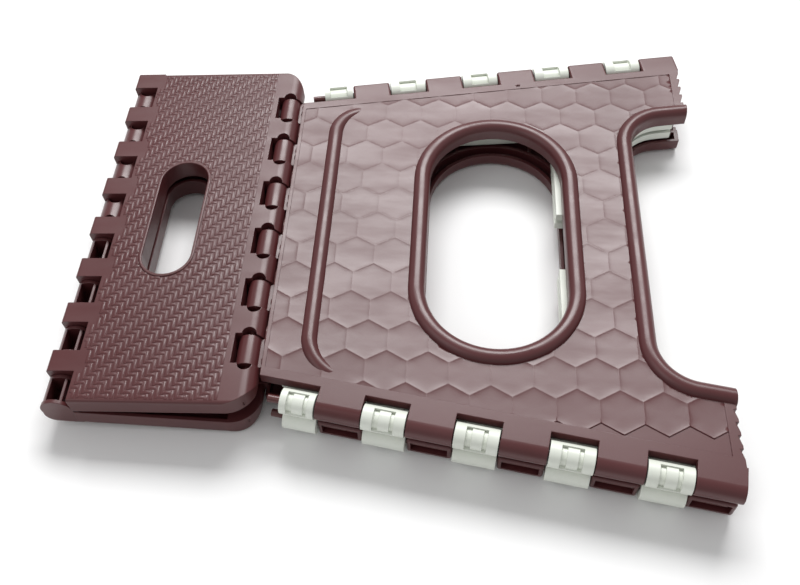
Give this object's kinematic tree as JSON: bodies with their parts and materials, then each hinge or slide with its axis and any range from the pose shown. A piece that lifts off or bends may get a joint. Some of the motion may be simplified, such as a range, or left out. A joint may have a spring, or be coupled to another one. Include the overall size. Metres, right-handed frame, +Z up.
{
  "type": "folding step stool",
  "caption": "Plastic folding step stool stored flat: two-part seat, two leg panels and folding end panels hinged together, with a hand slot.",
  "frame": {"origin": "centre of the folded stool's footprint, on the surface it lies on", "axes": "+X from the centre hinge of the seat to the feet, +Y along the hinges, +Z up, the folded thickness"},
  "size_m": [0.4261, 0.3746, 0.042],
  "materials": {
    "brown_plastic": "satin moulded polypropylene",
    "cream_plastic": "satin moulded polypropylene",
    "pin_plastic": "moulded plastic rod"
  },
  "bodies": {
    "leg_lower": {"leg_panel_lower": "brown_plastic", "leg_hinge_pin_lower": "pin_plastic", "corner_pin_lower_front": "pin_plastic", "corner_pin_lower_rear": "pin_plastic"},
    "seat_lower": {"seat_half_lower": "brown_plastic"},
    "seat_upper": {"seat_half_upper": "brown_plastic"},
    "leg_upper": {"leg_panel_upper": "brown_plastic", "leg_hinge_pin_upper": "pin_plastic", "corner_pin_upper_front": "pin_plastic", "corner_pin_upper_rear": "pin_plastic"},
    "end_upper_rear": {"end_panel_upper_rear": "cream_plastic", "fold_pin_rear_seat_side": "pin_plastic", "fold_pin_rear_foot_side": "pin_plastic"},
    "end_upper_front": {"end_panel_upper_front": "cream_plastic"},
    "end_lower_front": {"end_panel_lower_front": "cream_plastic", "fold_pin_front_seat_side": "pin_plastic", "fold_pin_front_foot_side": "pin_plastic"},
    "end_lower_rear": {"end_panel_lower_rear": "cream_plastic"}
  },
  "joints": [
    {"name": "seat_leg_lower", "type": "hinge", "parent": "leg_lower", "child": "seat_lower", "pos_m": [-0.0858, 0, 0.01], "axis": [0, 1, 0], "range_deg": [0, 76.57]},
    {"name": "centre_hinge", "type": "hinge", "parent": "seat_lower", "child": "seat_upper", "pos_m": [-0.2028, 0, 0.021], "axis": [0, -1, 0], "range_deg": [0, 174]},
    {"name": "seat_leg_upper", "type": "hinge", "parent": "seat_upper", "child": "leg_upper", "pos_m": [-0.0858, 0, 0.032], "axis": [0, 1, 0], "range_deg": [0, 76.57]},
    {"name": "corner_upper_rear", "type": "hinge", "parent": "leg_upper", "child": "end_upper_rear", "pos_m": [-0.07759, 0.13005, 0.0305], "axis": [0.9854, 0.1702, 0], "range_deg": [0, 83.71]},
    {"name": "corner_upper_front", "type": "hinge", "parent": "leg_upper", "child": "end_upper_front", "pos_m": [-0.07759, -0.13005, 0.0305], "axis": [-0.9854, 0.1702, 0], "range_deg": [0, 83.71]},
    {"name": "corner_lower_front", "type": "hinge", "parent": "leg_lower", "child": "end_lower_front", "pos_m": [-0.07759, -0.13005, 0.0115], "axis": [0.9854, -0.1702, 0], "range_deg": [0, 83.71]},
    {"name": "corner_lower_rear", "type": "hinge", "parent": "leg_lower", "child": "end_lower_rear", "pos_m": [-0.07759, 0.13005, 0.0115], "axis": [-0.9854, -0.1702, 0], "range_deg": [0, 83.71]}
  ],
  "couplings": [
    {"joint": "seat_leg_lower", "follows": "centre_hinge", "ratio": 0.44006},
    {"joint": "seat_leg_upper", "follows": "centre_hinge", "ratio": 0.44006},
    {"joint": "corner_upper_rear", "follows": "centre_hinge", "ratio": 0.48109},
    {"joint": "corner_upper_front", "follows": "centre_hinge", "ratio": 0.48109},
    {"joint": "corner_lower_front", "follows": "centre_hinge", "ratio": 0.48109},
    {"joint": "corner_lower_rear", "follows": "centre_hinge", "ratio": 0.48109}
  ]
}
